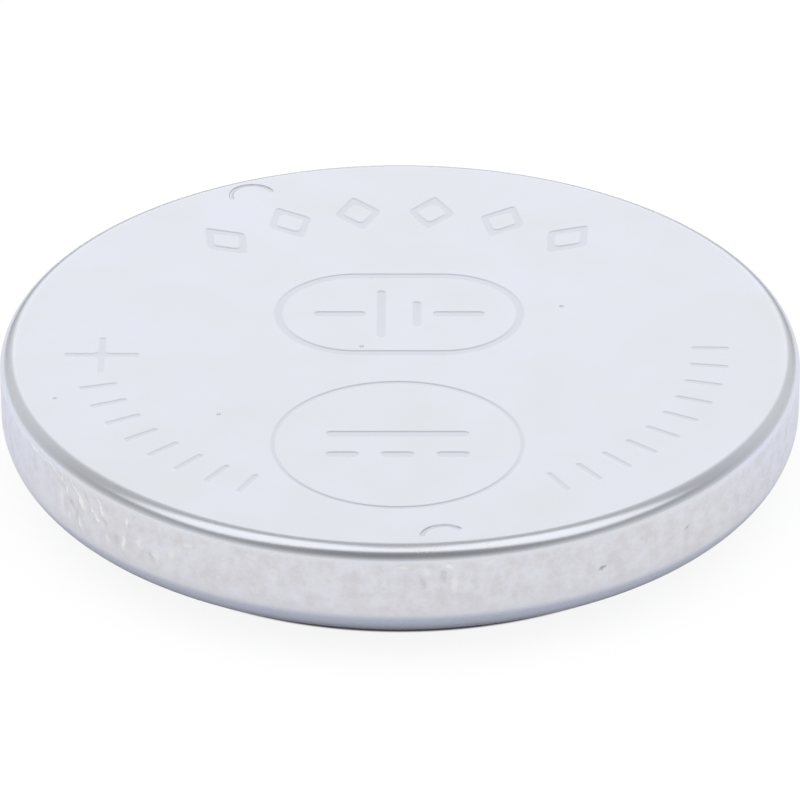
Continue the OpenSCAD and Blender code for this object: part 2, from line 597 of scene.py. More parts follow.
@dataclass
class Can:
    """The steel can: a plate with stamped marks, a rounded edge, a wall and a curled foot.

    Attributes:
        section: the cell's half section.
        segments: the number of steps round the axis.
        burr: how far the corners of the foot's cut edge are broken, in millimetres.
        waviness: the depth of the wall's long waves.
        dent: the depth of the dents where the wall is worn.
    """

    section: Section
    segments: int = 720
    burr: float = 0.03
    waviness: float = 0.005
    dent: float = 0.012

    def marks(self) -> list[Mark]:
        """Lays out the marks of the positive face.

        Returns:
            The marks.  A frame holds the marks inside it.
        """
        # The drawn sign for a cell, a long and a short plate with a lead each, and a pit by it
        cell_sign = (
            Bar(-0.45, 0.0, 0.0, width=0.32, length=2.5),
            Bar(0.45, 0.0, 0.0, width=0.32, length=1.35),
            Bar(-1.5, 0.0, 90.0, width=0.32, length=1.4),
            Bar(1.5, 0.0, 90.0, width=0.32, length=1.4),
            Disc(-0.94, -1.67, die=PIT_DIE, across=0.13, segments=16),
        )
        # The sign for direct current, a line over three dashes
        direct_sign = (
            Bar(0.0, 0.5, 90.0, width=0.34, length=3.6),
            *(Bar(1.35 * step, -0.5, 90.0, width=0.34, length=0.9) for step in (-1, 0, 1)),
        )
        # A pill and a circle frame the signs.  The plus sign and the nicks stand alone.
        marks: list[Mark] = [
            Bar(-0.02, 1.64, 90.0, line=0.3, inner=self.turned(cell_sign, -90.0),
                width=4.3, length=6.4, corner_steps=24),
            Disc(-0.06, -4.92, line=0.2, inner=direct_sign, across=6.3),
            Plus(-7.44, -0.49, die=TICK_DIE),
            Crescent(-3.85, 8.03, 21.5, die=NICK_DIE, across=1.1, stroke=0.17, sweep=190.0),
            Crescent(1.05, -9.33, 18.3, die=NICK_DIE, across=1.06, stroke=0.17, sweep=140.0),
        ]
        # Six diamonds along the far edge
        for angle in (129.0, 113.6, 98.8, 83.4, 68.2, 52.6):
            marks.append(self.on_circle(Diamond, 7.1, angle, line=0.28))
        # A row of ticks on either side, 6.6 degrees apart
        for first, count in ((195.5, 8), (299.5, 10)):
            for step in range(count):
                marks.append(self.on_circle(Bar, 7.75, first + 6.6 * step, die=TICK_DIE,
                                            width=0.24, length=1.05))
        # Pits left by grit under the tool
        for x, y, across in ((4.08, 2.04, 0.13), (-4.45, -3.45, 0.12), (-8.51, -2.66, 0.11)):
            marks.append(Disc(x, y, die=PIT_DIE, across=across, segments=16))
        return marks

    @staticmethod
    def turned(marks: tuple[Mark, ...], degrees: float) -> tuple[Mark, ...]:
        """Turns marks together about the origin.

        Args:
            marks: the marks.
            degrees: how far they turn, anticlockwise as seen from above.

        Returns:
            The same marks in their new places.
        """
        about = Matrix.Rotation(math.radians(degrees), 2)
        moved = []
        for mark in marks:
            x, y = about @ Vector((mark.x, mark.y))
            moved.append(type(mark)(**{**vars(mark), "x": x, "y": y, "turn": mark.turn + degrees}))
        return tuple(moved)

    @staticmethod
    def on_circle(kind: type[Mark], radius: float, angle: float, **sizes: object) -> Mark:
        """Puts a mark on a circle round the axis, with its length along the radius."""
        x, y = radius * math.cos(math.radians(angle)), radius * math.sin(math.radians(angle))
        return kind(x=x, y=y, turn=angle - 90.0, **sizes)

    def shell(self) -> BMesh:
        """Spins the sheet from the edge of the flat face round the foot to the inner plate.

        Returns:
            The can's mesh, which is open only where the flat face belongs.
        """
        s = self.section
        inner = s.curl_r - s.can_t
        cut = math.degrees(self.burr / s.curl_r)
        pen = HalfSection(s.flat_r - LAND_MM, s.height)
        pen.line(s.flat_r, s.height)
        pen.arc(s.flat_r, s.edge_z, 90.0, 16)
        pen.line(s.radius, s.curl_z, 10)
        pen.arc(s.curl_x, s.curl_z, s.curl_turn - cut, 22)
        pen.line(*s.on_curl(s.curl_r - self.burr, s.curl_turn))
        pen.line(*s.on_curl(inner + self.burr, s.curl_turn))
        pen.line(*s.on_curl(inner, s.curl_turn - cut))
        pen.arc(s.curl_x, s.curl_z, cut - s.curl_turn, 10)
        pen.line(s.radius - s.can_t, s.edge_z)
        pen.arc(s.flat_r, s.edge_z, -90.0, 3)
        pen.line(0.0, s.plate_z)
        return pen.spin(self.segments)

    def wear(self, mesh: BMesh) -> None:
        """Presses the wall in a little, unevenly, as handling and the drawing ring leave it.

        Args:
            mesh: the can's mesh, in millimetres.
        """
        s = self.section
        mid_sheet_r = s.radius - s.can_t / 2
        foot_z = s.foot_rise + 0.1
        for vert in mesh.verts:
            x, y, z = vert.co
            across = math.hypot(x, y)
            # The flat face, the cut edge of the foot and the inside of the wall stay as they are
            if across <= s.flat_r or z < foot_z or (across < mid_sheet_r and z > s.curl_z):
                continue
            lump = 0.5 + 0.5 * LUMPS.at(vert.co)
            ripple = 0.5 + 0.5 * RIPPLES.at(vert.co)
            flute = max(0.0, FLUTES.at(vert.co) - 0.1)
            deep = self.waviness * (0.6 * lump + 0.4 * ripple) + self.dent * self.worn(x, y) * flute
            # The waves grow from nothing at the flat face over the rounded edge
            rise = min(1.0, (s.height - z) / s.edge_r) ** 2
            vert.co -= Vector((x, y, 0.0)).normalized() * deep * rise

    @staticmethod
    def worn(x: float, y: float) -> float:
        """Tells how worn the wall is at a place, from none at 0 to most at 1."""
        angle = math.degrees(math.atan2(x, -y))
        return math.exp(-((angle + 46.0) / 14.0) ** 2) + 0.45 * math.exp(-((angle - 12.0) / 10.0) ** 2)

    def build(self, material: bpy.types.Material) -> bpy.types.Object:
        """Builds the can and puts it in place of its CAD node.

        Args:
            material: its finish.

        Returns:
            The can's piece.
        """
        mesh = self.shell()
        ground = bmesh.new()
        for mark in self.marks():
            append(ground, mark.build())
        bmesh.ops.translate(ground, verts=ground.verts[:], vec=(0.0, 0.0, self.section.height))
        append(mesh, ground)
        fill_level(mesh)
        bmesh.ops.recalc_face_normals(mesh, faces=mesh.faces[:])
        self.wear(mesh)
        return finish_piece(mesh, "can_shell", material, "positive_can")


@dataclass
class Cap:
    """The steel cap: the negative face, a step, a ledge, a shoulder and a skirt."""

    section: Section
    segments: int = 480
    bend_steps: int = 10

    def build(self, material: bpy.types.Material) -> bpy.types.Object:
        """Builds the cap and puts it in place of its CAD node.

        Args:
            material: its finish.

        Returns:
            The cap's piece.
        """
        s, steps = self.section, self.bend_steps
        bend = s.cap_bend_r + s.cap_t
        step_in_r, skirt_in_r = s.step_r - s.cap_t, s.skirt_r - s.cap_t
        pen = HalfSection(0.0, 0.0)
        pen.line(s.cap_flat_r - LAND_MM, 0.0, 6)
        pen.line(s.cap_flat_r, 0.0)
        pen.arc(s.cap_flat_r, bend, -90.0, steps)
        pen.line(s.step_r, s.step_bend[1], 3)
        pen.arc(*s.step_bend, 90.0, steps)
        pen.line(s.curl_x, s.ledge_z)
        pen.arc(s.curl_x, s.curl_z, -90.0, steps)
        pen.line(s.skirt_r, s.skirt_z)
        pen.line(skirt_in_r, s.skirt_z)
        pen.line(skirt_in_r, s.curl_z)
        pen.arc(s.curl_x, s.curl_z, 90.0, steps)
        pen.line(s.step_bend[0], s.ledge_z + s.cap_t)
        pen.arc(*s.step_bend, -90.0, steps)
        pen.line(step_in_r, bend)
        pen.arc(s.cap_flat_r, bend, 90.0, 4)
        pen.line(0.0, s.cap_t)
        mesh = pen.spin(self.segments)
        bmesh.ops.recalc_face_normals(mesh, faces=mesh.faces[:])
        return finish_piece(mesh, "cap_shell", material, "negative_cap")


@dataclass
class Gasket:
    """The plastic ring between the can and the cap, whose bead shows round the step.

    Attributes:
        section: the cell's half section.
        segments: the number of steps round the axis.
        soft: how far the corners of the bead are rounded off, in millimetres.
        soft_turn: how far past the can's cut edge that rounding begins, in degrees.
        swell_turn: how far past that edge the bead has swollen fully.
    """

    section: Section
    segments: int = 480
    soft: float = 0.06
    soft_turn: float = 0.8
    swell_turn: float = 3.0

    def build(self, material: bpy.types.Material) -> bpy.types.Object:
        """Builds the gasket and puts it in place of its CAD node.

        Args:
            material: its finish.

        Returns:
            The gasket's piece.
        """
        s = self.section
        outer = s.curl_r - s.can_t
        bead_z = s.curl_z - outer - s.swell
        skirt_in_r = s.skirt_r - s.cap_t
        lip_r = skirt_in_r - s.lip_t
        lip_end = s.plate_z - s.lip_h + s.lip_t / 2
        pen = HalfSection(lip_r, s.plate_z)
        pen.line(s.flat_r, s.plate_z)
        pen.arc(s.flat_r, s.plate_z - s.can_bend_r, 90.0, 3)
        pen.line(s.radius - s.can_t, s.curl_z)
        pen.arc(s.curl_x, s.curl_z, s.curl_turn, 14)
        pen.line(*s.on_curl(outer + self.soft, s.curl_turn + self.soft_turn))
        pen.line(*s.on_curl(outer + s.swell, s.curl_turn + self.swell_turn))
        pen.arc(s.curl_x, s.curl_z, 90.0 - self.swell_turn - s.curl_turn, 4)
        pen.line(s.step_r + self.soft, bead_z, 2)
        pen.line(s.step_r, bead_z + self.soft)
        pen.line(s.step_r, s.step_bend[1])
        pen.arc(*s.step_bend, 90.0, 6)
        pen.line(s.curl_x, s.ledge_z)
        pen.arc(s.curl_x, s.curl_z, -90.0, 10)
        pen.line(s.skirt_r, s.skirt_z)
        pen.line(skirt_in_r, s.skirt_z)
        pen.line(skirt_in_r, lip_end)
        pen.arc(lip_r + s.lip_t / 2, lip_end, 180.0, 8)
        pen.line(lip_r, s.plate_z)
        mesh = pen.spin(self.segments)
        bmesh.ops.recalc_face_normals(mesh, faces=mesh.faces[:])
        return finish_piece(mesh, "seal_ring", material, "gasket")


def finish_piece(mesh: BMesh, name: str, material: bpy.types.Material, node: str,
                 sharp_degrees: float = 40.0) -> bpy.types.Object:
    """Makes a piece of a mesh, smooth but for its sharp corners, in place of a CAD node.

    Args:
        mesh: the finished mesh, in millimetres and in place.
        name: the piece's name.
        material: its finish.
        node: the CAD node that it stands for.
        sharp_degrees: the angle between two faces from which their edge stays sharp.

    Returns:
        The piece, which rides on the cell.
    """
    bmesh.ops.scale(mesh, vec=(MM, MM, MM), verts=mesh.verts[:])
    open_edges = sum(1 for edge in mesh.edges if len(edge.link_faces) != 2)
    for face in mesh.faces:
        face.smooth = True
    data = bpy.data.meshes.new(name)
    mesh.to_mesh(data)
    mesh.free()
    data.set_sharp_from_angle(angle=math.radians(sharp_degrees))
    data.materials.append(material)
    piece = bpy.data.objects.new(name, data)
    bpy.context.scene.collection.objects.link(piece)
    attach(piece, "root")
    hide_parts(node)
    log.info("%s: %d faces, %d open edges, in place of %s", name, len(data.polygons), open_edges, node)
    return piece


class Forming(Enum):
    """How a piece of sheet got its shape: the length of the lines that it left, in millimetres."""

    DRAWN = 1.6
    PRESSED = 0.2


@dataclass(frozen=True)
class Rub:
    """A place on the wall that something rubbed or nicked, with soft edges.

    Attributes:
        degrees: the way round the wall to its middle, from the front to the right.
        z: the height of its middle, in millimetres.
        lean: how far its lower end leans to the right, in degrees.
        length: its length, in millimetres.
        width: its width, in millimetres.
        strength: how strongly it shows, from nothing at 0 to fully at 1.
    """

    degrees: float
    z: float
    lean: float
    length: float
    width: float
    strength: float = 1.0


# Pale rubs: most lie left of the front and a few near the middle
RUBS = (
    Rub(-68.5, 2.86, 88.0, 1.1, 0.12, 0.6),
    Rub(-62.5, 2.83, 84.0, 1.3, 0.13, 0.8),
    Rub(-57.2, 2.77, 72.0, 0.9, 0.13, 0.8),
    Rub(-55.1, 2.74, 32.0, 0.4, 0.13, 0.9),
    Rub(-54.0, 2.45, 26.0, 0.45, 0.12, 0.9),
    Rub(-52.2, 2.66, 42.0, 0.5, 0.13, 0.9),
    Rub(-50.6, 2.42, 34.0, 0.55, 0.17),
    Rub(-51.1, 1.79, 26.0, 0.55, 0.14),
    Rub(-46.9, 2.72, 30.0, 0.3, 0.12, 0.9),
    Rub(-45.9, 2.48, 46.0, 0.36, 0.13),
    Rub(-48.2, 2.36, 24.0, 0.26, 0.14),
    Rub(-47.1, 2.2, 58.0, 0.36, 0.17),
    Rub(-55.4, 2.1, 5.0, 0.8, 0.24, 0.5),
    Rub(-53.6, 1.74, 18.0, 0.4, 0.13, 0.5),
    Rub(-45.1, 1.8, 12.0, 0.34, 0.16, 0.6),
    Rub(-41.9, 1.92, -17.0, 0.45, 0.15),
    Rub(-41.1, 2.5, 5.0, 0.36, 0.17),
    Rub(-38.8, 2.1, 2.0, 0.4, 0.2, 0.6),
    Rub(-35.9, 1.89, 3.0, 0.34, 0.2, 0.4),
    Rub(-33.3, 2.1, -1.0, 0.42, 0.22, 0.4),
    Rub(-30.5, 2.5, 70.0, 0.4, 0.14, 0.4),
    Rub(-21.0, 2.66, 84.0, 0.5, 0.13, 0.35),
    Rub(-17.5, 2.3, 12.0, 0.4, 0.24, 0.3),
    Rub(0.2, 2.72, 90.0, 0.35, 0.1, 0.6),
    Rub(3.6, 2.62, 24.0, 0.3, 0.16, 0.4),
    Rub(6.6, 2.72, 86.0, 0.28, 0.12, 0.8),
    Rub(7.5, 2.28, 0.0, 0.5, 0.2, 0.5),
    Rub(12.2, 2.72, 88.0, 0.3, 0.12, 0.4),
    Rub(16.0, 2.4, 14.0, 0.4, 0.2, 0.3),
)

# Darker nicks between them, and two specks on the right
NICKS = (
    Rub(-52.9, 2.2, 40.0, 0.42, 0.18, 0.3),
    Rub(-51.6, 1.98, 10.0, 0.34, 0.16, 0.3),
    Rub(-49.3, 2.62, 30.0, 0.4, 0.13, 0.25),
    Rub(-45.4, 2.24, 30.0, 0.3, 0.13, 0.25),
    Rub(-43.2, 1.86, 4.0, 0.4, 0.18, 0.2),
    Rub(-36.7, 1.85, 21.0, 0.4, 0.16, 0.2),
    Rub(3.1, 2.32, 19.0, 0.5, 0.16, 0.2),
    Rub(6.0, 2.45, 18.0, 0.45, 0.14, 0.25),
    Rub(10.4, 2.3, 8.0, 0.4, 0.14, 0.15),
    Rub(29.2, 2.0, 105.0, 0.26, 0.13, 0.8),
    Rub(44.0, 2.2, 105.0, 0.18, 0.11, 0.5),
)


@dataclass(frozen=True)
class PlatedSteel:
    """Nickel-plated stainless steel sheet, drawn or pressed.

    The tool leaves the flat face satin and even, and the bends smoother.  Drawing leaves fine
    upright lines on the wall and handling leaves rubs.  The lower foot has a painted shade.

    Attributes:
        name: the real material and how it was made.
        section: the cell's half section.
        face_z: the height of the flat face.
        face_r: the radius of the flat face.
        forming: how the sheet got its shape.
        foot_shade_z: the height below which the lower foot has its painted shade.
        rubs: paler places on the wall.
        nicks: darker places on the wall.
        colour: the colour of the plating.
        mottle: the colour of its cloudy patches.
        stamped: the colour of the ground of a mark, which the die left smoother.
        wall_mottle: the colour of the patches on the wall.
        foot_shade: the darker, bluer colour of the lower foot, a painted shade.
        rubbed: the colour of a rub.
        nicked: the colour of a nick.
        face_roughness: how matt the flat face is.
        bend_roughness: how matt the bends are.
        wall_roughness: how matt the wall is.
        smear_roughness: how much more matt the patches on the wall are.
        cloud_roughness: how much more matt the cloudy patches are.
        cloud_mm: the size of the cloudy patches of the plating.
        smear_mm: the size of the patches that handling left on the wall.
        fray_mm: the size of the frays on the edges of rubs and nicks.
        fray_reach_mm: how far the frays reach to each side.
        grain_mm: the size of the grain.
        grain_height_mm: the height of the grain.
        line_mm: the width of the lines that the drawing ring left.
        line_height_mm: the height of those lines.
        rub_height_mm: how far the edge of a rub stands up.
    """

    name: str
    section: Section
    face_z: float
    face_r: float
    forming: Forming
    foot_shade_z: float = -1.0
    rubs: tuple[Rub, ...] = ()
    nicks: tuple[Rub, ...] = ()
    colour: str = "#edf0fa"
    mottle: str = "#eceff4"
    stamped: str = "#e4e7f1"
    wall_mottle: str = "#e3e3e8"
    foot_shade: str = "#c9d0e2"
    rubbed: str = "#ffffff"
    nicked: str = "#9a9ba2"
    face_roughness: float = 0.3
    bend_roughness: float = 0.26
    wall_roughness: float = 0.3
    smear_roughness: float = 0.06
    cloud_roughness: float = 0.02
    cloud_mm: float = 2.0
    smear_mm: float = 5 / 12
    fray_mm: float = 0.25
    fray_reach_mm: float = 0.2
    grain_mm: float = 0.08
    grain_height_mm: float = 0.0003
    line_mm: float = 0.11
    line_height_mm: float = 0.0022
    rub_height_mm: float = 0.012

    def build(self) -> bpy.types.Material:
        """Builds the material.

        Returns:
            The finish for the piece.
        """
        material = new_material(self.name)
        tree = material.node_tree
        spot = add_node(tree, "ShaderNodeTexCoord").outputs["Object"]
        spot_mm = add_node(tree, "ShaderNodeVectorMath", {"operation": "SCALE"},
                           {"Vector": spot, "Scale": 1.0 / MM}).outputs[0]
        axes = add_node(tree, "ShaderNodeSeparateXYZ", inputs={"Vector": spot_mm})
        face, sunk = self.face_masks(tree, spot_mm, axes)
        wall, foot_shade = self.wall_masks(tree, axes)
        place = self.place_on_wall(tree, spot_mm, axes)
        rubs = self.spots(tree, place, self.rubs)
        nicks = self.spots(tree, place, self.nicks)

        # Cloudy patches of the plating, which barely show
        clouds = add_node(tree, "ShaderNodeTexNoise", inputs={
            "Vector": spot_mm, "Scale": 1.0 / self.cloud_mm, "Detail": 4.0, "Roughness": 0.6})
        cloudy = add_node(tree, "ShaderNodeMapRange", inputs={
            "Value": clouds, "From Min": 0.35, "From Max": 0.7})
        # Handling leaves smaller and plainer patches on the wall
        smears = add_node(tree, "ShaderNodeTexNoise", inputs={
            "Vector": spot_mm, "Scale": 1.0 / self.smear_mm, "Detail": 6.0, "Roughness": 0.72})
        smeared = add_node(tree, "ShaderNodeMapRange", inputs={
            "Value": smears, "From Min": 0.4, "From Max": 0.62})
        on_wall = add_node(tree, "ShaderNodeMath", {"operation": "MULTIPLY"}, {0: smeared, 1: wall})

        colour = linear(self.colour)
        # The lower foot is painted darker and bluer here: a painted shade, as it faces the shaded
        # floor
        for mask, shade in ((cloudy, self.mottle), (on_wall, self.wall_mottle),
                            (foot_shade, self.foot_shade), (rubs, self.rubbed),
                            (nicks, self.nicked), (sunk, self.stamped)):
            colour = add_node(tree, "ShaderNodeMix", {"data_type": "RGBA"}, {
                "Factor": mask, MIX_A: colour, MIX_B: linear(shade)}).outputs[MIX_RESULT]

        side = add_node(tree, "ShaderNodeMapRange", inputs={
            "Value": wall, "To Min": self.bend_roughness, "To Max": self.wall_roughness})
        plain = add_node(tree, "ShaderNodeMix", {"data_type": "FLOAT"},
                         {"Factor": face, 2: side, 3: self.face_roughness})
        worn = add_node(tree, "ShaderNodeMath", {"operation": "MULTIPLY_ADD"},
                        {0: on_wall, 1: self.smear_roughness, 2: plain})
        rough = add_node(tree, "ShaderNodeMath", {"operation": "MULTIPLY_ADD"},
                         {0: cloudy, 1: self.cloud_roughness, 2: worn})

        steel = add_node(tree, "ShaderNodeBsdfPrincipled", inputs={
            "Base Color": colour, "Metallic": 1.0, "Roughness": rough,
            "Normal": self.relief(tree, spot_mm, wall, rubs)})
        add_node(tree, "ShaderNodeOutputMaterial", inputs={"Surface": steel})
        return material

    def face_masks(self, tree: bpy.types.NodeTree, spot_mm: bpy.types.NodeSocket,
                   axes: bpy.types.Node) -> tuple[bpy.types.Node, bpy.types.Node]:
        """Finds the flat face and the ground of its marks.

        Args:
            tree: the material's node tree.
            spot_mm: the place on the piece, in millimetres.
            axes: the same place, split in three.

        Returns:
            Two masks: the flat face with its marks, and the ground of the marks alone.
        """
        level = add_node(tree, "ShaderNodeVectorMath", {"operation": "MULTIPLY"},
                         {0: spot_mm, 1: (1.0, 1.0, 0.0)})
        across = add_node(tree, "ShaderNodeVectorMath", {"operation": "LENGTH"}, {0: level})
        offset = add_node(tree, "ShaderNodeMath", {"operation": "SUBTRACT"},
                          {0: axes.outputs["Z"], 1: self.face_z})
        gap = add_node(tree, "ShaderNodeMath", {"operation": "ABSOLUTE"}, {0: offset})
        # The face with its marks: level with it or a little deeper, and inside its edge
        near = add_node(tree, "ShaderNodeMapRange", {"interpolation_type": "SMOOTHSTEP"}, {
            "Value": gap, "From Min": 0.06, "From Max": 0.12, "To Min": 1.0, "To Max": 0.0})
        within = add_node(tree, "ShaderNodeMapRange", {"interpolation_type": "SMOOTHSTEP"}, {
            "Value": across.outputs["Value"], "From Min": self.face_r - 0.06,
            "From Max": self.face_r + 0.04, "To Min": 1.0, "To Max": 0.0})
        face = add_node(tree, "ShaderNodeMath", {"operation": "MULTIPLY"}, {0: near, 1: within})
        # The ground of a mark: a few thousandths of a millimetre deeper than the face
        deep = add_node(tree, "ShaderNodeMapRange", {"interpolation_type": "SMOOTHSTEP"}, {
            "Value": gap, "From Min": 0.001, "From Max": 0.007, "To Min": 0.0, "To Max": 1.0})
        inside = add_node(tree, "ShaderNodeMath", {"operation": "LESS_THAN"},
                          {0: across.outputs["Value"], 1: self.face_r - 0.05})
        flat_deep = add_node(tree, "ShaderNodeMath", {"operation": "MULTIPLY"}, {0: deep, 1: inside})
        sunk = add_node(tree, "ShaderNodeMath", {"operation": "MULTIPLY"}, {0: flat_deep, 1: near})
        return face, sunk

    def wall_masks(self, tree: bpy.types.NodeTree,
                   axes: bpy.types.Node) -> tuple[bpy.types.Node, bpy.types.Node]:
        """Finds the upright wall and the lower foot, which has a painted shade.

        Args:
            tree: the material's node tree.
            axes: the place on the piece in millimetres, split in three.

        Returns:
            Two masks: the wall, and the foot.
        """
        # The wall fades out over the rounded edge above it and over the curled foot below
        below = add_node(tree, "ShaderNodeMapRange", {"interpolation_type": "SMOOTHSTEP"}, {
            "Value": axes.outputs["Z"], "From Min": self.section.edge_z - 0.05,
            "From Max": self.section.edge_z + 0.12, "To Min": 1.0, "To Max": 0.0})
        above = add_node(tree, "ShaderNodeMapRange", {"interpolation_type": "SMOOTHSTEP"}, {
            "Value": axes.outputs["Z"], "From Min": self.section.curl_z - 0.6,
            "From Max": self.section.curl_z, "To Min": 0.0, "To Max": 1.0})
        wall = add_node(tree, "ShaderNodeMath", {"operation": "MULTIPLY"}, {0: below, 1: above})
        # Below this height the foot is painted darker and bluer: a painted shade
        foot_shade = add_node(tree, "ShaderNodeMapRange", {"interpolation_type": "SMOOTHSTEP"}, {
            "Value": axes.outputs["Z"], "From Min": self.foot_shade_z - 0.25,
            "From Max": self.foot_shade_z, "To Min": 1.0, "To Max": 0.0})
        return wall, foot_shade

    def place_on_wall(self, tree: bpy.types.NodeTree, spot_mm: bpy.types.NodeSocket,
                      axes: bpy.types.Node) -> bpy.types.Node:
        """Unrolls the wall, a little unevenly, so that what is placed on it has ragged edges.

        Args:
            tree: the material's node tree.
            spot_mm: the place on the piece, in millimetres.
            axes: the same place, split in three.

        Returns:
            The node that gives the way round the wall from the front and the height.
        """
        front = add_node(tree, "ShaderNodeMath", {"operation": "MULTIPLY"},
                         {0: axes.outputs["Y"], 1: -1.0})
        angle = add_node(tree, "ShaderNodeMath", {"operation": "ARCTAN2"},
                         {0: axes.outputs["X"], 1: front})
        way = add_node(tree, "ShaderNodeMath", {"operation": "MULTIPLY"},
                       {0: angle, 1: self.section.radius})
        flat = add_node(tree, "ShaderNodeCombineXYZ", inputs={"X": way, "Y": axes.outputs["Z"]})
        frays = add_node(tree, "ShaderNodeTexNoise", inputs={
            "Vector": spot_mm, "Scale": 1.0 / self.fray_mm, "Detail": 4.0, "Roughness": 0.6})
        reach = self.fray_reach_mm
        shift = add_node(tree, "ShaderNodeVectorMath", {"operation": "MULTIPLY_ADD"}, {
            0: frays.outputs["Color"], 1: (2 * reach, 2 * reach, 0.0), 2: (-reach, -reach, 0.0)})
        return add_node(tree, "ShaderNodeVectorMath", {"operation": "ADD"}, {0: flat, 1: shift})

    def spots(self, tree: bpy.types.NodeTree, place: bpy.types.Node,
              spots: tuple[Rub, ...]) -> bpy.types.NodeSocket | float:
        """Draws rubs or nicks at their places on the wall.

        Args:
            tree: the material's node tree.
            place: the node that gives the place on the unrolled wall.
            spots: the rubs or nicks.

        Returns:
            Their mask, or zero where there are none.
        """
        mask: bpy.types.NodeSocket | float = 0.0
        for spot in spots:
            way = math.radians(spot.degrees) * self.section.radius
            within = add_node(tree, "ShaderNodeMapping", {"vector_type": "TEXTURE"}, {
                "Vector": place, "Location": (way, spot.z, 0.0),
                "Rotation": (0.0, 0.0, math.radians(spot.lean)),
                "Scale": (spot.width / 2, spot.length / 2, 1.0)})
            across = add_node(tree, "ShaderNodeVectorMath", {"operation": "LENGTH"}, {0: within})
            soft = add_node(tree, "ShaderNodeMapRange", {"interpolation_type": "SMOOTHSTEP"}, {
                "Value": across.outputs["Value"], "From Min": 0.2, "From Max": 1.3,
                "To Min": spot.strength, "To Max": 0.0})
            mask = add_node(tree, "ShaderNodeMath", {"operation": "MAXIMUM"},
                            {0: soft, 1: mask}).outputs[0]
        return mask

    def relief(self, tree: bpy.types.NodeTree, spot_mm: bpy.types.NodeSocket,
               wall: bpy.types.Node, rubs: bpy.types.NodeSocket | float) -> bpy.types.Node:
        """Adds the grain, the lines of the drawing ring and the height of the rubs.

        Args:
            tree: the material's node tree.
            spot_mm: the place on the piece, in millimetres.
            wall: the mask of the wall.
            rubs: the mask of the rubs.

        Returns:
            The node that gives the bumped normal.
        """
        grain = add_node(tree, "ShaderNodeTexNoise", inputs={
            "Vector": spot_mm, "Scale": 1.0 / self.grain_mm, "Detail": 2.0})
        fine = add_node(tree, "ShaderNodeBump", inputs={
            "Height": grain, "Strength": 1.0, "Distance": self.grain_height_mm * MM})
        drawn = add_node(tree, "ShaderNodeVectorMath", {"operation": "MULTIPLY"},
                         {0: spot_mm, 1: (1.0, 1.0, self.line_mm / self.forming.value)})
        lines = add_node(tree, "ShaderNodeTexNoise", inputs={
            "Vector": drawn, "Scale": 1.0 / self.line_mm, "Detail": 3.0})
        wall_lines = add_node(tree, "ShaderNodeMath", {"operation": "MULTIPLY"}, {0: lines, 1: wall})
        lined = add_node(tree, "ShaderNodeBump", inputs={
            "Height": wall_lines, "Strength": 1.0, "Distance": self.line_height_mm * MM,
            "Normal": fine})
        return add_node(tree, "ShaderNodeBump", inputs={
            "Height": rubs, "Strength": 1.0, "Distance": self.rub_height_mm * MM,
            "Normal": lined})


@dataclass(frozen=True)
class PlainFinish:
    """A finish of one colour with its own patches, gloss and grain.

    Attributes:
        name: the real material and how it was made.
        colour: its colour.
        shade: the colour of its darker patches.
        metallic: one for a metal.
        roughness: how matt it is.
        roughness_spread: how far its grain makes that vary, up and down.
        patch_mm: the size of its patches.
        grain_mm: the size of its grain.
        grain_depth_mm: the height of its grain.
        stretch: how far the grain is drawn out along each axis.
        ior: its refractive index, which a metal leaves at the default.
        subsurface: how much light passes through it.
    """

    name: str
    colour: str
    shade: str
    metallic: float = 0.0
    roughness: float = 0.5
    roughness_spread: float = 0.06
    patch_mm: float = 1.0
    grain_mm: float = 0.1
    grain_depth_mm: float = 0.002
    stretch: tuple[float, float, float] = (1.0, 1.0, 1.0)
    ior: float = 1.5
    subsurface: float = 0.0

    def build(self) -> bpy.types.Material:
        """Builds the material.

        Returns:
            The finish for the piece.
        """
        material = new_material(self.name)
        tree = material.node_tree
        spot = add_node(tree, "ShaderNodeTexCoord").outputs["Object"]
        spot_mm = add_node(tree, "ShaderNodeVectorMath", {"operation": "SCALE"},
                           {"Vector": spot, "Scale": 1.0 / MM})
        drawn = add_node(tree, "ShaderNodeVectorMath", {"operation": "MULTIPLY"},
                         {0: spot_mm, 1: tuple(1.0 / factor for factor in self.stretch)})
        patches = add_node(tree, "ShaderNodeTexNoise", inputs={
            "Vector": drawn, "Scale": 1.0 / self.patch_mm, "Detail": 4.0})
        grain = add_node(tree, "ShaderNodeTexNoise", inputs={
            "Vector": drawn, "Scale": 1.0 / self.grain_mm, "Detail": 3.0})
        shaded = add_node(tree, "ShaderNodeMapRange", inputs={
            "Value": patches, "From Min": 0.35, "From Max": 0.7})
        colour = add_node(tree, "ShaderNodeMix", {"data_type": "RGBA"}, {
            "Factor": shaded, MIX_A: linear(self.colour), MIX_B: linear(self.shade)})
        rough = add_node(tree, "ShaderNodeMapRange", inputs={
            "Value": grain, "From Min": 0.3, "From Max": 0.7,
            "To Min": self.roughness - self.roughness_spread,
            "To Max": self.roughness + self.roughness_spread})
        bump = add_node(tree, "ShaderNodeBump", inputs={
            "Height": grain, "Strength": 1.0, "Distance": self.grain_depth_mm * MM})
        shader = add_node(tree, "ShaderNodeBsdfPrincipled", inputs={
            "Base Color": colour.outputs[MIX_RESULT], "Metallic": self.metallic,
            "Roughness": rough, "IOR": self.ior, "Normal": bump})
        if self.subsurface:
            shader.inputs["Subsurface Weight"].default_value = self.subsurface
            shader.inputs["Subsurface Scale"].default_value = MM
        add_node(tree, "ShaderNodeOutputMaterial", inputs={"Surface": shader})
        return material


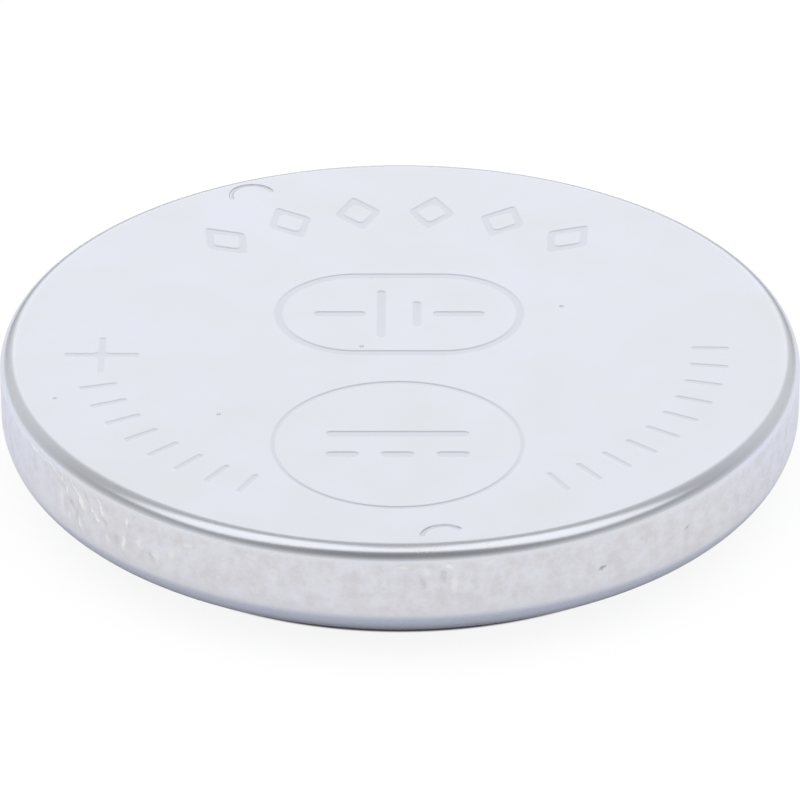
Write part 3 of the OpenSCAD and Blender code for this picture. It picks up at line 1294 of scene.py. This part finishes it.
@dataclass
class Studio:
    """A pale floor, two soft lamps overhead and a room that is bright behind the cell.

    Attributes:
        floor_r: the floor's radius, in metres, as all lengths here.
        floor_hole_r: the radius of the hole in the floor, which the negative face covers.
        floor_drop: how far the floor lies below that face, so that the two never coincide.
        contact_r: where the floor just outside the cell's foot loses its full shadow.
        under_r: where the floor in the steel brightens, from under the cell outwards.
        shadow_r: where the last of the cell's shadow fades into plain white.
        warm_y: where the floor in the steel turns from its front colour to the one beside.
        lamp_height: how high the lamps hang.
        lamp_size: the width and depth of each lamp.
        lamp_y: how far behind the cell the middles of the lamps are.
        lamp_turn: how far the outer end of each lamp is turned forward, in degrees.
        lamp_radiance: how bright a lamp is, where white is 1, as in what follows.
        panel_level: how bright the panel behind the cell is.
        wall_level: how bright the walls are low down.
        side_dip: how much the walls lose high up, beside the cell and in front of it.
        front_dip: how much more the wall behind the camera loses there.
        back_lift: how much the wall behind the cell gains high up.
        ceiling_share: the share of the wall's brightness that the ceiling has.
        skirting_dip: the share of the wall's brightness that the skirting loses.
        ambient: how bright the room is to matt surfaces.
        veil: the share of its shadow that the floor near the cell loses to the camera.
        under_glow: how bright the floor beside the cell's foot is in the steel.
        floor_front: the colour of the floor in front of the cell, as the steel mirrors it.
        floor_beside: its colour beside and behind the cell.
        floor_shadow: a painted shadow: the paper's grey under the cell's edge, as the camera sees it.
    """

    floor_r: float = 1.2
    floor_hole_r: float = 0.0081
    floor_drop: float = 2e-6
    contact_r: tuple[float, float] = (0.0084, 0.0085)
    under_r: tuple[float, float] = (0.0088, 0.01)
    shadow_r: tuple[float, float] = (0.02, 0.09)
    warm_y: tuple[float, float] = (-0.007, 0.001)
    lamp_height: float = 0.35
    lamp_size: tuple[float, float] = (0.4, 0.3)
    lamp_y: float = -0.066
    lamp_turn: float = 14.0
    lamp_radiance: float = 0.8
    panel_level: float = 1.03
    wall_level: float = 0.62
    side_dip: float = 0.3
    front_dip: float = 0.13
    back_lift: float = 0.04
    ceiling_share: float = 0.72
    skirting_dip: float = 0.7
    ambient: float = 0.96
    veil: float = 0.88
    under_glow: float = 0.28
    floor_front: str = "#d3d0cf"
    floor_beside: str = "#d2d3dc"
    floor_shadow: str = "#9a999c"

    def build(self) -> None:
        """Builds the floor, the room and the lamps."""
        self.build_floor()
        self.build_room()
        self.build_lamps()

    def build_floor(self) -> None:
        """Lays the floor, a flat ring whose hole the negative face covers."""
        mesh = bmesh.new()
        for radius in (self.floor_hole_r, self.floor_r):
            bmesh.ops.create_circle(mesh, segments=256, radius=radius)
        bmesh.ops.bridge_loops(mesh, edges=mesh.edges[:])
        face_up(mesh)
        data = bpy.data.meshes.new("floor")
        mesh.to_mesh(data)
        mesh.free()
        data.materials.append(self.paper())
        floor = bpy.data.objects.new("floor", data)
        floor.location.z = -self.floor_drop
        bpy.context.scene.collection.objects.link(floor)

    def paper(self) -> bpy.types.Material:
        """Sets up matt paper, which is white to the camera but for the cell's shadow.

        Returns:
            The floor's material.
        """
        material = new_material("paper_white_matt")
        tree = material.node_tree
        path = add_node(tree, "ShaderNodeLightPath")
        seen = path.outputs["Is Camera Ray"]
        spot = add_node(tree, "ShaderNodeTexCoord").outputs["Object"]
        away = add_node(tree, "ShaderNodeVectorMath", {"operation": "LENGTH"}, {0: spot})
        # Far from the cell the floor is plain white, to the camera and in the steel
        far = add_node(tree, "ShaderNodeMapRange", {"interpolation_type": "SMOOTHSTEP"}, {
            "Value": away.outputs["Value"], "From Min": self.shadow_r[0],
            "From Max": self.shadow_r[1]})
        mirrored = add_node(tree, "ShaderNodeMath", {"operation": "MAXIMUM"}, {
            0: path.outputs["Is Glossy Ray"], 1: path.outputs["Is Transmission Ray"]})
        shown = add_node(tree, "ShaderNodeMath", {"operation": "MAXIMUM"}, {0: seen, 1: mirrored})
        far_shown = add_node(tree, "ShaderNodeMath", {"operation": "MULTIPLY"}, {0: far, 1: shown})
        # Only the line where the cell touches the floor keeps its full shadow
        open_floor = add_node(tree, "ShaderNodeMapRange", {"interpolation_type": "SMOOTHSTEP"}, {
            "Value": away.outputs["Value"], "From Min": self.contact_r[0],
            "From Max": self.contact_r[1]})
        near_seen = add_node(tree, "ShaderNodeMath", {"operation": "MULTIPLY"},
                             {0: seen, 1: open_floor})
        veiled = add_node(tree, "ShaderNodeMath", {"operation": "MULTIPLY"},
                          {0: near_seen, 1: self.veil})
        # The steel mirrors a floor that darkens under the cell
        under = add_node(tree, "ShaderNodeMapRange", {"interpolation_type": "SMOOTHSTEP"}, {
            "Value": away.outputs["Value"], "From Min": self.under_r[0],
            "From Max": self.under_r[1], "To Min": 0.0, "To Max": self.under_glow})
        near_shown = add_node(tree, "ShaderNodeMath", {"operation": "MULTIPLY_ADD"},
                              {0: mirrored, 1: under, 2: veiled})
        glow = add_node(tree, "ShaderNodeMath", {"operation": "MAXIMUM"},
                        {0: far_shown, 1: near_shown})
        # The floor that the steel mirrors is a little warmer in front than beside the cell
        depth = add_node(tree, "ShaderNodeSeparateXYZ", inputs={"Vector": spot})
        beside = add_node(tree, "ShaderNodeMapRange", {"interpolation_type": "SMOOTHSTEP"}, {
            "Value": depth.outputs["Y"], "From Min": self.warm_y[0],
            "From Max": self.warm_y[1]})
        cool = add_node(tree, "ShaderNodeMix", {"data_type": "RGBA"}, {
            "Factor": beside, MIX_A: linear(self.floor_front), MIX_B: linear(self.floor_beside)})
        # Under the cell's edge the camera sees the paper painted grey, a painted shadow on top of the
        # real one
        shadowed = add_node(tree, "ShaderNodeMix", {"data_type": "RGBA"}, {
            "Factor": seen, MIX_A: cool.outputs[MIX_RESULT], MIX_B: linear(self.floor_shadow)})
        tone = add_node(tree, "ShaderNodeMix", {"data_type": "RGBA"}, {
            "Factor": near_seen, MIX_A: shadowed.outputs[MIX_RESULT], MIX_B: WHITE})
        matt = add_node(tree, "ShaderNodeBsdfDiffuse", inputs={"Color": tone.outputs[MIX_RESULT]})
        white = add_node(tree, "ShaderNodeEmission", inputs={"Color": WHITE, "Strength": 1.0})
        paper = add_node(tree, "ShaderNodeMixShader", inputs={0: glow, 1: matt, 2: white})
        # Seen from below, the floor is clear, so that the negative face can be looked at
        below = add_node(tree, "ShaderNodeNewGeometry").outputs["Backfacing"]
        clear = add_node(tree, "ShaderNodeBsdfTransparent")
        mixed = add_node(tree, "ShaderNodeMixShader", inputs={0: below, 1: paper, 2: clear})
        add_node(tree, "ShaderNodeOutputMaterial", inputs={"Surface": mixed})
        return material

    def build_room(self) -> None:
        """Paints the room: a white panel behind the cell, grey walls, dim high up in front."""
        world = bpy.data.worlds.new("room")
        bpy.context.scene.world = world
        world.use_nodes = True
        tree = world.node_tree
        tree.nodes.clear()
        path = add_node(tree, "ShaderNodeLightPath")
        way = add_node(tree, "ShaderNodeTexCoord").outputs["Generated"]
        axes = add_node(tree, "ShaderNodeSeparateXYZ", inputs={"Vector": way})
        # The walls lose light towards the ceiling, beside the cell and more behind the camera
        front = add_node(tree, "ShaderNodeMapRange", inputs={
            "Value": axes.outputs["Y"], "From Min": -0.9, "From Max": -0.42,
            "To Min": -self.front_dip, "To Max": 0.0})
        sides = add_node(tree, "ShaderNodeMapRange", {"interpolation_type": "SMOOTHSTEP"}, {
            "Value": axes.outputs["Y"], "From Min": 0.0, "From Max": 0.75,
            "To Min": -self.side_dip, "To Max": self.back_lift})
        dip = add_node(tree, "ShaderNodeMath", {"operation": "ADD"}, {0: front, 1: sides})
        climb = add_node(tree, "ShaderNodeMapRange", {"interpolation_type": "SMOOTHSTEP"}, {
            "Value": axes.outputs["Z"], "From Min": 0.0, "From Max": 0.55})
        walls = add_node(tree, "ShaderNodeMath", {"operation": "MULTIPLY_ADD"},
                         {0: dip, 1: climb, 2: self.wall_level})
        ceiling = add_node(tree, "ShaderNodeMapRange", {"interpolation_type": "SMOOTHSTEP"}, {
            "Value": axes.outputs["Z"], "From Min": 0.6, "From Max": 0.72,
            "To Min": 1.0, "To Max": self.ceiling_share})
        # A dark skirting under the panel, which draws the thin line on the far edge
        behind = add_node(tree, "ShaderNodeMapRange", {"interpolation_type": "SMOOTHSTEP"}, {
            "Value": axes.outputs["Y"], "From Min": 0.8, "From Max": 0.93})
        skirting = add_node(tree, "ShaderNodeMapRange", {"interpolation_type": "SMOOTHSTEP"}, {
            "Value": axes.outputs["Z"], "From Min": 0.08, "From Max": 0.24,
            "To Min": -self.skirting_dip, "To Max": 0.0})
        lower = add_node(tree, "ShaderNodeMath", {"operation": "MULTIPLY_ADD"},
                         {0: skirting, 1: behind, 2: 1.0})
        high = add_node(tree, "ShaderNodeMath", {"operation": "MULTIPLY"}, {0: walls, 1: ceiling})
        bare = add_node(tree, "ShaderNodeMath", {"operation": "MULTIPLY"}, {0: high, 1: lower})
        panel = self.panel(tree, axes)
        level = add_node(tree, "ShaderNodeMix", {"data_type": "FLOAT"},
                         {"Factor": panel, 2: bare, 3: self.panel_level})
        # Steel mirrors the painted room, matt surfaces take an even light, and the camera sees white
        mirrored = add_node(tree, "ShaderNodeBackground", inputs={"Color": WHITE, "Strength": level})
        ambient = add_node(tree, "ShaderNodeBackground",
                           inputs={"Color": WHITE, "Strength": self.ambient})
        white = add_node(tree, "ShaderNodeBackground", inputs={"Color": WHITE, "Strength": 1.0})
        sharp = add_node(tree, "ShaderNodeMath", {"operation": "MAXIMUM"}, {
            0: path.outputs["Is Glossy Ray"], 1: path.outputs["Is Transmission Ray"]})
        lit = add_node(tree, "ShaderNodeMixShader", inputs={0: sharp, 1: ambient, 2: mirrored})
        room = add_node(tree, "ShaderNodeMixShader",
                        inputs={0: path.outputs["Is Camera Ray"], 1: lit, 2: white})
        add_node(tree, "ShaderNodeOutputWorld", inputs={"Surface": room})

    @staticmethod
    def panel(tree: bpy.types.NodeTree, axes: bpy.types.Node) -> bpy.types.Node:
        """Sets up the white panel behind the cell, which the flat face mirrors.

        Args:
            tree: the room's node tree.
            axes: the direction that is looked in, split in three.

        Returns:
            The node that gives the panel's mask.
        """
        aside = add_node(tree, "ShaderNodeMath", {"operation": "ABSOLUTE"}, {0: axes.outputs["X"]})
        edges = ((aside.outputs[0], 0.32, 0.18), (axes.outputs["Z"], 0.67, 0.57),
                 (axes.outputs["Z"], 0.1, 0.26), (axes.outputs["Y"], 0.0, 0.2))
        mask = None
        for value, outside, inside in edges:
            edge = add_node(tree, "ShaderNodeMapRange", {"interpolation_type": "SMOOTHSTEP"}, {
                "Value": value, "From Min": min(outside, inside), "From Max": max(outside, inside),
                "To Min": float(outside > inside), "To Max": float(inside > outside)})
            mask = edge if mask is None else add_node(
                tree, "ShaderNodeMath", {"operation": "MULTIPLY"}, {0: mask, 1: edge})
        return mask

    def build_lamps(self) -> None:
        """Hangs two soft lamps level over the cell, side by side, their outer ends forward."""
        width, depth = self.lamp_size
        for name, side in (("soft_lamp_left", -1.0), ("soft_lamp_right", 1.0)):
            lamp = bpy.data.lights.new(name, "AREA")
            lamp.shape = "RECTANGLE"
            lamp.size, lamp.size_y = width, depth
            lamp.energy = self.lamp_radiance * math.pi * width * depth
            hung = bpy.data.objects.new(name, lamp)
            hung.location = (side * width / 2, self.lamp_y, self.lamp_height)
            hung.rotation_euler.z = -side * math.radians(self.lamp_turn)
            bpy.context.scene.collection.objects.link(hung)


@dataclass
class ViewPoint:
    """The camera, where the photograph's outline of the cell puts it.

    Attributes:
        section: the cell's half section.
        elevation: how far the camera looks down, in degrees.
        distance_mm: its distance from the middle of the cell.
        lens_mm: its focal length.
        shift_y: how far its frame is shifted up, in widths of the frame.
    """

    section: Section
    elevation: float = 29.662
    distance_mm: float = 169.288
    lens_mm: float = 303.37
    shift_y: float = 0.0014

    def build(self) -> None:
        """Puts the camera in front of the cell and aims it at the cell's middle."""
        angle = math.radians(self.elevation)
        camera = bpy.data.cameras.new("camera")
        camera.lens = self.lens_mm
        camera.shift_y = self.shift_y
        camera.clip_start, camera.clip_end = 0.01, 10.0
        stand = bpy.data.objects.new("camera", camera)
        stand.location = (0.0, -math.cos(angle) * self.distance_mm * MM,
                          (math.sin(angle) * self.distance_mm + self.section.height / 2) * MM)
        stand.rotation_euler = (math.pi / 2 - angle, 0.0, 0.0)
        bpy.context.scene.collection.objects.link(stand)
        bpy.context.scene.camera = stand


def main() -> None:
    """Builds the scene: the camera, the room, the pieces and their finishes."""
    logging.basicConfig(level=logging.INFO, format="%(message)s")
    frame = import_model()
    section = Section.from_frame()
    bpy.context.scene.view_settings.view_transform = "Standard"
    ViewPoint(section).build()
    Studio().build()

    # Plated steel, drawn: a pale satin face, fine upright lines on the wall, a bluer painted shade on
    # the foot
    drawn = PlatedSteel("nickel_plated_steel_drawn", section, section.height, section.flat_r,
                        Forming.DRAWN, foot_shade_z=1.42, rubs=RUBS, nicks=NICKS)
    # The same steel, pressed: a pale satin face and smooth bends, without lines or wear
    pressed = PlatedSteel("nickel_plated_steel_pressed", section, 0.0, section.cap_flat_r,
                          Forming.PRESSED)
    # Moulded polypropylene: milky white and softly shining, as light passes into it
    moulded = PlainFinish("polypropylene_moulded", "#ece9e0", "#e0dcd0", roughness=0.42,
                          grain_depth_mm=0.001, ior=1.49, subsurface=0.3)
    Can(section).build(drawn.build())
    Cap(section).build(pressed.build())
    Gasket(section).build(moulded.build())

    inner = {
        # Rolled lithium foil: dull silver, with faint streaks along the rolling
        "lithium_anode": PlainFinish("lithium_foil_rolled", "#b9bbc0", "#8f9198", 1.0, 0.45,
                                     patch_mm=2.0, stretch=(1.0, 12.0, 1.0)),
        # Polypropylene fleece: white and quite matt, with a fine felted grain
        "separator": PlainFinish("polypropylene_fleece", "#f1f1ee", "#dcdcd6", 0.0, 0.85,
                                 patch_mm=0.6, grain_mm=0.06, grain_depth_mm=0.01),
        # Pressed manganese dioxide: nearly black, matt and slightly sandy
        "cathode_pellet": PlainFinish("manganese_dioxide_pressed", "#2b2b2d", "#1b1b1c", 0.0, 0.8,
                                      patch_mm=0.5, grain_mm=0.08, grain_depth_mm=0.008),
        # Stainless steel, cut to a grid: plain grey with a low shine
        "collector_grid": PlainFinish("stainless_steel_grid", "#b4b5b6", "#9a9b9d", 1.0, 0.35,
                                      patch_mm=1.0, grain_mm=0.05),
    }
    for node, finish in inner.items():
        data = frame["nodes"][node].data
        data.materials.clear()
        data.materials.append(finish.build())
        log.info("%s: finish %s", node, finish.name)


if __name__ == "__main__":
    main()
